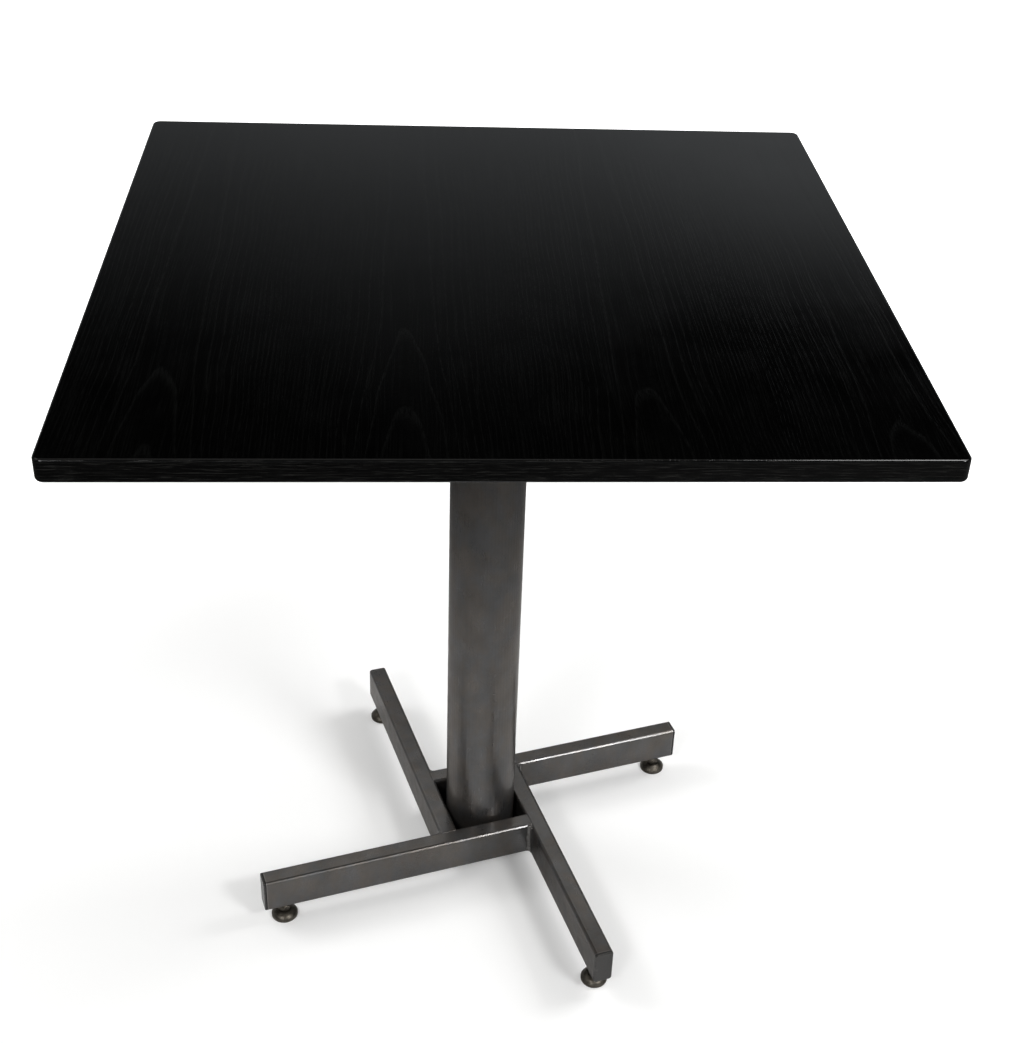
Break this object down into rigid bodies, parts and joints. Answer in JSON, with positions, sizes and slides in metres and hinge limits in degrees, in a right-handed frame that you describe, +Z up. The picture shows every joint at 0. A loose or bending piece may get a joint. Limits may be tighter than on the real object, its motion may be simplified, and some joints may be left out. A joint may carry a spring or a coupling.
{
  "type": "bistro table",
  "caption": "Square bistro table: black-stained ash top on a round steel column, pinwheel base of rectangular tube arms, and screw levelling feet.",
  "frame": {"origin": "on the floor, under the column's axis", "axes": "+Z up along the column; the top's edges lie along X and Y; the base stands turned 16 degrees to the top, anticlockwise seen from above"},
  "size_m": [0.7, 0.7, 0.72],
  "materials": {
    "stained_ash": "black-stained open-pore ash under satin lacquer",
    "core_board": "raw particle board",
    "lacquered_steel": "dark mill-finish steel under clear lacquer",
    "plain_steel": "dark satin steel",
    "dark_zinc": "dark satin zinc plate",
    "black_plastic": "moulded black plastic, satin"
  },
  "bodies": {
    "table": {"face_veneer": "stained_ash", "backing_veneer": "stained_ash", "lipping_front": "stained_ash", "lipping_right": "stained_ash", "lipping_rear": "stained_ash", "lipping_left": "stained_ash", "core_board": "core_board", "top_plate": "plain_steel", "upper_locating_ring": "plain_steel", "lower_locating_ring": "plain_steel", "tie_rod_weld_nut": "plain_steel", "base_plate": "plain_steel", "tie_rod": "dark_zinc", "tie_rod_washer": "dark_zinc", "tie_rod_nut": "dark_zinc", "wood_screw_1": "dark_zinc", "wood_screw_2": "dark_zinc", "wood_screw_3": "dark_zinc", "wood_screw_4": "dark_zinc", "wood_screw_5": "dark_zinc", "wood_screw_6": "dark_zinc", "wood_screw_7": "dark_zinc", "wood_screw_8": "dark_zinc", "column_tube": "lacquered_steel", "arm_left": "lacquered_steel", "end_cap_left": "black_plastic", "foot_bush_left": "dark_zinc", "arm_front": "lacquered_steel", "end_cap_front": "black_plastic", "foot_bush_front": "dark_zinc", "arm_right": "lacquered_steel", "end_cap_right": "black_plastic", "foot_bush_right": "dark_zinc", "arm_rear": "lacquered_steel", "end_cap_rear": "black_plastic", "foot_bush_rear": "dark_zinc"},
    "foot_pad_left": {"foot_pad_left": "dark_zinc"},
    "foot_stem_left": {"foot_stem_left": "dark_zinc"},
    "foot_pad_front": {"foot_pad_front": "dark_zinc"},
    "foot_stem_front": {"foot_stem_front": "dark_zinc"},
    "foot_pad_right": {"foot_pad_right": "dark_zinc"},
    "foot_stem_right": {"foot_stem_right": "dark_zinc"},
    "foot_pad_rear": {"foot_pad_rear": "dark_zinc"},
    "foot_stem_rear": {"foot_stem_rear": "dark_zinc"}
  },
  "joints": [
    {"name": "foot_height_left", "type": "slide", "parent": "table", "child": "foot_pad_left", "axis": [0, 0, 1], "range_m": [-0.01, 0]},
    {"name": "foot_screw_left", "type": "hinge", "parent": "foot_pad_left", "child": "foot_stem_left", "pos_m": [-0.21474, -0.11364, 0.02], "axis": [0, 0, 1], "range_deg": [-2880, 0]},
    {"name": "foot_height_front", "type": "slide", "parent": "table", "child": "foot_pad_front", "axis": [0, 0, 1], "range_m": [-0.01, 0]},
    {"name": "foot_screw_front", "type": "hinge", "parent": "foot_pad_front", "child": "foot_stem_front", "pos_m": [0.11364, -0.21474, 0.02], "axis": [0, 0, 1], "range_deg": [-2880, 0]},
    {"name": "foot_height_right", "type": "slide", "parent": "table", "child": "foot_pad_right", "axis": [0, 0, 1], "range_m": [-0.01, 0]},
    {"name": "foot_screw_right", "type": "hinge", "parent": "foot_pad_right", "child": "foot_stem_right", "pos_m": [0.21474, 0.11364, 0.02], "axis": [0, 0, 1], "range_deg": [-2880, 0]},
    {"name": "foot_height_rear", "type": "slide", "parent": "table", "child": "foot_pad_rear", "axis": [0, 0, 1], "range_m": [-0.01, 0]},
    {"name": "foot_screw_rear", "type": "hinge", "parent": "foot_pad_rear", "child": "foot_stem_rear", "pos_m": [-0.11364, 0.21474, 0.02], "axis": [0, 0, 1], "range_deg": [-2880, 0]}
  ],
  "couplings": [
    {"joint": "foot_screw_left", "follows": "foot_height_left", "rad_per_m": 5026.5},
    {"joint": "foot_screw_front", "follows": "foot_height_front", "rad_per_m": 5026.5},
    {"joint": "foot_screw_right", "follows": "foot_height_right", "rad_per_m": 5026.5},
    {"joint": "foot_screw_rear", "follows": "foot_height_rear", "rad_per_m": 5026.5}
  ]
}
